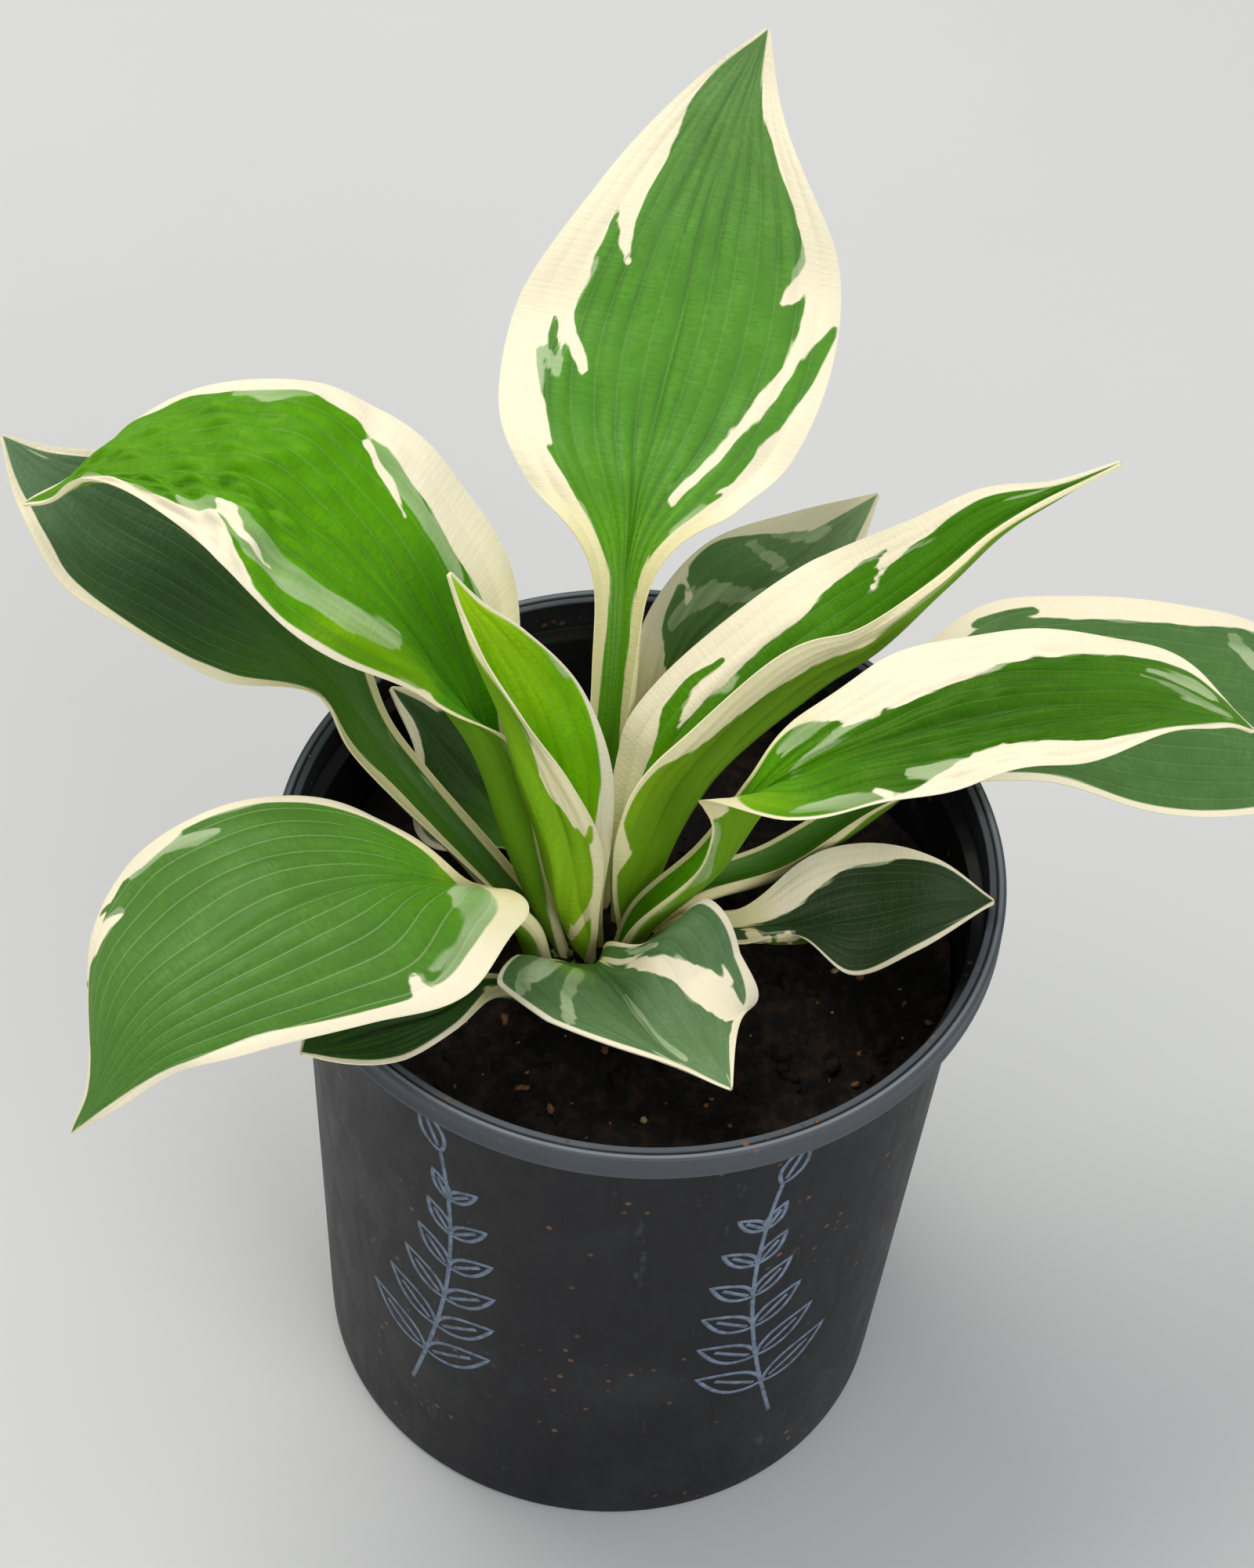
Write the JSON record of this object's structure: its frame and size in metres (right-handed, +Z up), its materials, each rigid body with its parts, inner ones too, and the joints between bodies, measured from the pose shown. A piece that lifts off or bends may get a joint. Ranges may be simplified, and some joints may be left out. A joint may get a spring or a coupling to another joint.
{
  "type": "potted hosta plant",
  "caption": "Variegated hosta with cream-edged ribbed leaves, growing from a crown in potting mix inside a tapered black nursery pot with a rim band.",
  "frame": {"origin": "centre of the pot's foot, on the surface the pot stands on", "axes": "+Z up along the pot's axis; the pictured side faces -Y"},
  "size_m": [0.3177, 0.2273, 0.29],
  "materials": {
    "pot": "satin",
    "soil": "matte",
    "crown": "matte",
    "leaf": "satin"
  },
  "bodies": {
    "root": {"pot": "pot", "soil": "soil", "crown": "crown", "leaf_back_tall": "leaf", "leaf_left_arched": "leaf", "leaf_left_long": "leaf", "leaf_front_broad": "leaf", "leaf_front_small": "leaf", "leaf_front_heart": "leaf", "leaf_right_small": "leaf", "leaf_right_upper": "leaf", "leaf_right_lower": "leaf", "leaf_right_folded": "leaf", "leaf_centre_rolled": "leaf", "leaf_back_right": "leaf", "leaf_back_left": "leaf", "leaf_centre_bud": "leaf"}
  },
  "joints": []
}
